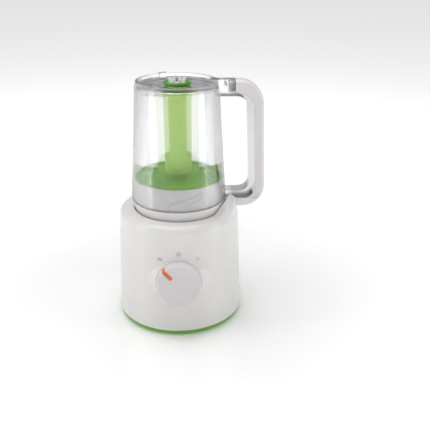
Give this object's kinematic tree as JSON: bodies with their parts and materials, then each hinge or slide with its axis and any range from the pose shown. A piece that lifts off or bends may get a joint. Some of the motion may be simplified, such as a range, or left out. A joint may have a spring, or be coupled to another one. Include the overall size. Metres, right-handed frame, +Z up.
{
  "type": "baby food maker",
  "caption": "Steamer-blender with a heated base, control knob and a clear handled jar that stands mouth down on its lid to steam and flips over to blend.",
  "frame": {"origin": "centre of the base's foot ring, on the surface it stands on", "axes": "+Z up, -Y towards the control knob, +X towards the jar's handle"},
  "size_m": [0.1931, 0.1776, 0.313],
  "materials": {
    "white_abs": "glossy moulded",
    "lid_white": "satin moulded",
    "grip_white": "satin moulded",
    "knob_white": "satin moulded",
    "trim_green": "glossy moulded",
    "strainer_green": "glossy moulded",
    "hub_green": "glossy, slightly translucent",
    "carrier_green": "glossy moulded",
    "clear_plastic": "clear, polished mould",
    "pointer_orange": "satin moulded",
    "coupling_white": "moulded",
    "inner_plastic": "moulded",
    "dark_plastic": "moulded",
    "clear_silicone": "translucent",
    "grey_rubber": "matt",
    "steel": "ground and polished",
    "zinc_steel": "zinc plated",
    "core_steel": "stacked laminations",
    "aluminium": "pressed, satin",
    "copper": "enamelled winding wire",
    "carbon": "pressed graphite"
  },
  "bodies": {
    "base": {"housing": "white_abs", "trim_ring": "trim_green", "bottom_plate": "inner_plastic", "foot_ring": "grey_rubber", "housing_screws": "zinc_steel", "seat_tray": "white_abs", "tray_screws": "zinc_steel", "cord_gland": "grey_rubber", "cord_clamp": "dark_plastic", "motor_stator": "core_steel", "field_coils": "copper", "upper_bracket": "aluminium", "lower_bracket": "aluminium", "motor_bearings": "steel", "motor_bolts": "zinc_steel", "motor_isolators": "grey_rubber", "isolator_screws": "zinc_steel", "brush_holders": "dark_plastic", "carbon_brushes": "carbon", "boiler_tank": "aluminium", "tank_top": "aluminium", "heating_element": "steel", "thermostat": "dark_plastic", "thermal_fuse": "steel", "tank_screws": "zinc_steel", "rotary_switch": "dark_plastic", "interlock_bracket": "inner_plastic", "interlock_spring": "steel", "microswitch": "dark_plastic"},
    "rotor": {"armature": "core_steel", "commutator": "copper", "motor_shaft": "steel", "cooling_fan": "dark_plastic", "drive_coupling": "coupling_white"},
    "control_knob": {"knob": "knob_white", "knob_pointer": "pointer_orange", "knob_spindle": "dark_plastic", "switch_rotor": "inner_plastic"},
    "filler_cap": {"tank_cap": "knob_white", "cap_gasket": "clear_silicone", "steam_nozzle": "clear_silicone"},
    "interlock": {"interlock_pin": "coupling_white"},
    "lid_unit": {"lid": "lid_white", "strainer": "strainer_green"},
    "seal": {"lid_seal": "clear_silicone"},
    "jar_unit": {"jar": "clear_plastic", "handle_grip": "grip_white", "grip_pins": "steel", "blade_carrier": "carrier_green", "carrier_nut": "carrier_green", "carrier_seal": "clear_silicone", "shaft_bush": "steel"},
    "blade": {"blade_hub": "hub_green", "blade_wings": "steel", "blade_shaft": "steel", "driven_coupling": "coupling_white"}
  },
  "joints": [
    {"name": "unit_lift", "type": "slide", "parent": "base", "child": "lid_unit", "axis": [0, 0, 1], "range_m": [0, 0.12]},
    {"name": "jar_turn", "type": "hinge", "parent": "lid_unit", "child": "seal", "pos_m": [0, 0, 0.162], "axis": [0, 0, 1], "range_deg": [0, 36]},
    {"name": "jar_rise", "type": "slide", "parent": "seal", "child": "jar_unit", "axis": [0, 0, 1], "range_m": [0, 0.0109]},
    {"name": "blade_spin", "type": "hinge", "parent": "jar_unit", "child": "blade", "pos_m": [0, 0, 0.3], "axis": [0, 0, 1], "continuous": true},
    {"name": "motor_spin", "type": "hinge", "parent": "base", "child": "rotor", "pos_m": [0, 0, 0.1], "axis": [0, 0, 1], "continuous": true},
    {"name": "knob_turn", "type": "hinge", "parent": "base", "child": "control_knob", "pos_m": [0, -0.08007, 0.078], "axis": [0, 0.999, -0.0444], "range_deg": [0, 86]},
    {"name": "cap_turn", "type": "hinge", "parent": "base", "child": "filler_cap", "pos_m": [0, 0.037, 0.139], "axis": [0, 0, 1], "range_deg": [0, 90]},
    {"name": "interlock_lift", "type": "slide", "parent": "base", "child": "interlock", "axis": [0, 0, 1], "range_m": [0, 0.0025], "stiffness_N_per_m": 100, "springref_m": 0.005, "deforming": ["interlock_spring"]}
  ],
  "couplings": [
    {"joint": "jar_rise", "follows": "jar_turn", "m_per_rad": 0.01733},
    {"joint": "interlock_lift", "follows": "unit_lift", "ratio": 0.0208}
  ]
}
